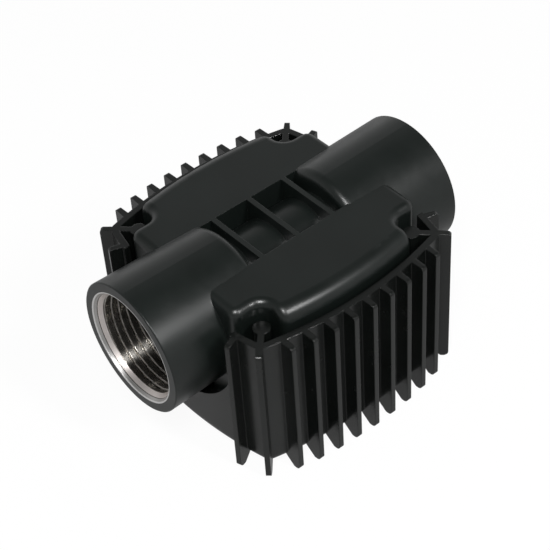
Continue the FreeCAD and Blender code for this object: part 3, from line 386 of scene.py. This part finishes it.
def fill_insert(shape, rings, painted_tones, side):
    """Join the rings with faces, the last one back to the first."""
    rows = []
    for ring in rings:
        row = []
        for k, (x, radius) in enumerate(ring):
            angle = 2 * math.pi * k / FACETS
            row.append(shape.verts.new((
                side * x, radius * math.cos(angle), AXIS_Z + radius * math.sin(angle))))
        rows.append(row)
    for number, (row, painted_tone) in enumerate(zip(rows, painted_tones)):
        next_row = rows[(number + 1) % len(rows)]
        for k in range(FACETS):
            after = (k + 1) % FACETS
            face = shape.faces.new((row[k], row[after], next_row[after], next_row[k]))
            face.material_index = painted_tone
            # painted glint: the faces just before each crest take the lighter steel
            phase = thread_phase(rings[number][k][0], side * k / FACETS)
            if number < THREAD_STEPS and phase < PAINTED_GLINT_SHARE:
                face.material_index = PAINTED_GLINT


def threaded_insert(name, side):
    """Replace a steel insert by one with its thread and its stepped mouth; side is the sign
    of X on which it lies."""
    low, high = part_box(name)
    reach = max(abs(low.x), abs(high.x))
    start = min(abs(low.x), abs(high.x))
    shape = bmesh.new()
    fill_insert(shape, *insert_rings(start, reach, side), side)
    bmesh.ops.recalc_face_normals(shape, faces=shape.faces)
    data = bpy.data.meshes.new(name + "_threaded")
    shape.to_mesh(data)
    shape.free()
    for face in data.polygons:
        face.use_smooth = True
    data.set_sharp_from_angle(angle=math.radians(SHARP_ANGLE))
    for material in INSERT_STEELS:
        data.materials.append(material)
    piece = bpy.data.objects.new(name + "_threaded", data)
    bpy.context.scene.collection.objects.link(piece)
    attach(piece, "meter")
    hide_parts(name)


threaded_insert("inlet_thread_insert", -1)
threaded_insert("outlet_thread_insert", 1)


# ------------------------------------------------------------------ studio

FLOOR_SIZE = 6
FLOOR_DROP = 0.01 * MM
FLOOR_COLOUR = (0.86, 0.86, 0.86, 1)
FLOOR_IN_GLOSS = 0.42  # how bright reflections show the floor
WHITE_SHARE = 0.94  # the rest of the floor's look is its paper, which takes the shadow
WHITE = (1, 1, 1, 1)

# brightness of the room by height: (sine of the elevation, strength)
STUDIO = [(0.0, 1.0), (0.37, 0.42), (0.45, 0.55), (0.68, 0.3), (0.87, 0.11), (1.0, 0.09)]
# the level direction in which the room is brightest, and its share of that brightness on
# the opposite side
AWAY = (0.7, 0.71, 0.0)
FRONT_SHARE = 0.4

# name, place, width and height, power
LAMPS = [
    ("key_light", (0.2, -0.87, 0.86), (0.12, 0.3), 7.4),
    ("mouth_light", (-0.43, -0.48, 0.95), (0.3, 0.3), 10),
]
LAMP_TARGET = (0, 0, 0.03)


def make_floor():
    """Pale paper that the camera sees as white, apart from the meter's shadow."""
    bpy.ops.mesh.primitive_plane_add(size=FLOOR_SIZE, location=(0, 0, -FLOOR_DROP))
    floor = bpy.context.object
    floor.name = "floor"
    paint = Material("floor_paper")
    paint.set(Base_Color=FLOOR_COLOUR, Roughness=0.9)
    seen = paint.add("LightPath")
    white = paint.fill(paint.add("Emission"), Color=WHITE)
    paint.link(paint.ranged(seen.outputs["Is Camera Ray"], FLOOR_IN_GLOSS, 1.0, 0, 1),
               white.inputs["Strength"])
    either = paint.math("MAXIMUM", seen.outputs["Is Camera Ray"],
                        seen.outputs["Is Glossy Ray"])
    share = paint.math("MULTIPLY", either, WHITE_SHARE)
    paint.link(paint.mix(share, paint.shader, white),
               paint.tree.nodes["Material Output"].inputs["Surface"])
    dress(floor, paint.material)


def make_world():
    """White to the camera; for lighting, a room that darkens towards its ceiling and
    towards the camera's side."""
    world = bpy.data.worlds.new("studio")
    bpy.context.scene.world = world
    world.use_nodes = True
    nodes = Nodes(world.node_tree)
    direction = nodes.add("TexCoord").outputs["Generated"]
    apart = nodes.add("SeparateXYZ")
    nodes.link(direction, apart.inputs[0])
    ramp = nodes.add("ValToRGB")
    steps = ramp.color_ramp.elements
    while len(steps) < len(STUDIO):
        steps.new(0.5)
    for step, (height, strength) in zip(steps, STUDIO):
        step.position = height
        step.color = (strength, strength, strength, 1)
    nodes.link(apart.outputs["Z"], ramp.inputs[0])
    along = nodes.add("VectorMath", operation="DOT_PRODUCT")
    along.inputs[1].default_value = AWAY
    nodes.link(direction, along.inputs[0])
    room = nodes.tree.nodes["Background"]
    nodes.link(ramp.outputs[0], room.inputs["Color"])
    nodes.link(nodes.ranged(along.outputs["Value"], FRONT_SHARE, 1.0, -1.0, 1.0),
               room.inputs["Strength"])
    white = nodes.fill(nodes.add("Background"), Color=WHITE)
    seen = nodes.add("LightPath")
    nodes.link(nodes.mix(seen.outputs["Is Camera Ray"], room, white),
               nodes.tree.nodes["World Output"].inputs["Surface"])


def soft_box(name, place, size, power):
    """An area lamp that looks at the meter."""
    data = bpy.data.lights.new(name, "AREA")
    data.shape = "RECTANGLE"
    data.size, data.size_y = size
    data.energy = power
    lamp = bpy.data.objects.new(name, data)
    bpy.context.scene.collection.objects.link(lamp)
    lamp.location = place
    aim = Vector(LAMP_TARGET) - Vector(place)
    lamp.rotation_euler = aim.to_track_quat("-Z", "Y").to_euler()


make_camera()
make_floor()
make_world()
for lamp_settings in LAMPS:
    soft_box(*lamp_settings)
bpy.context.scene.view_settings.view_transform = "Standard"
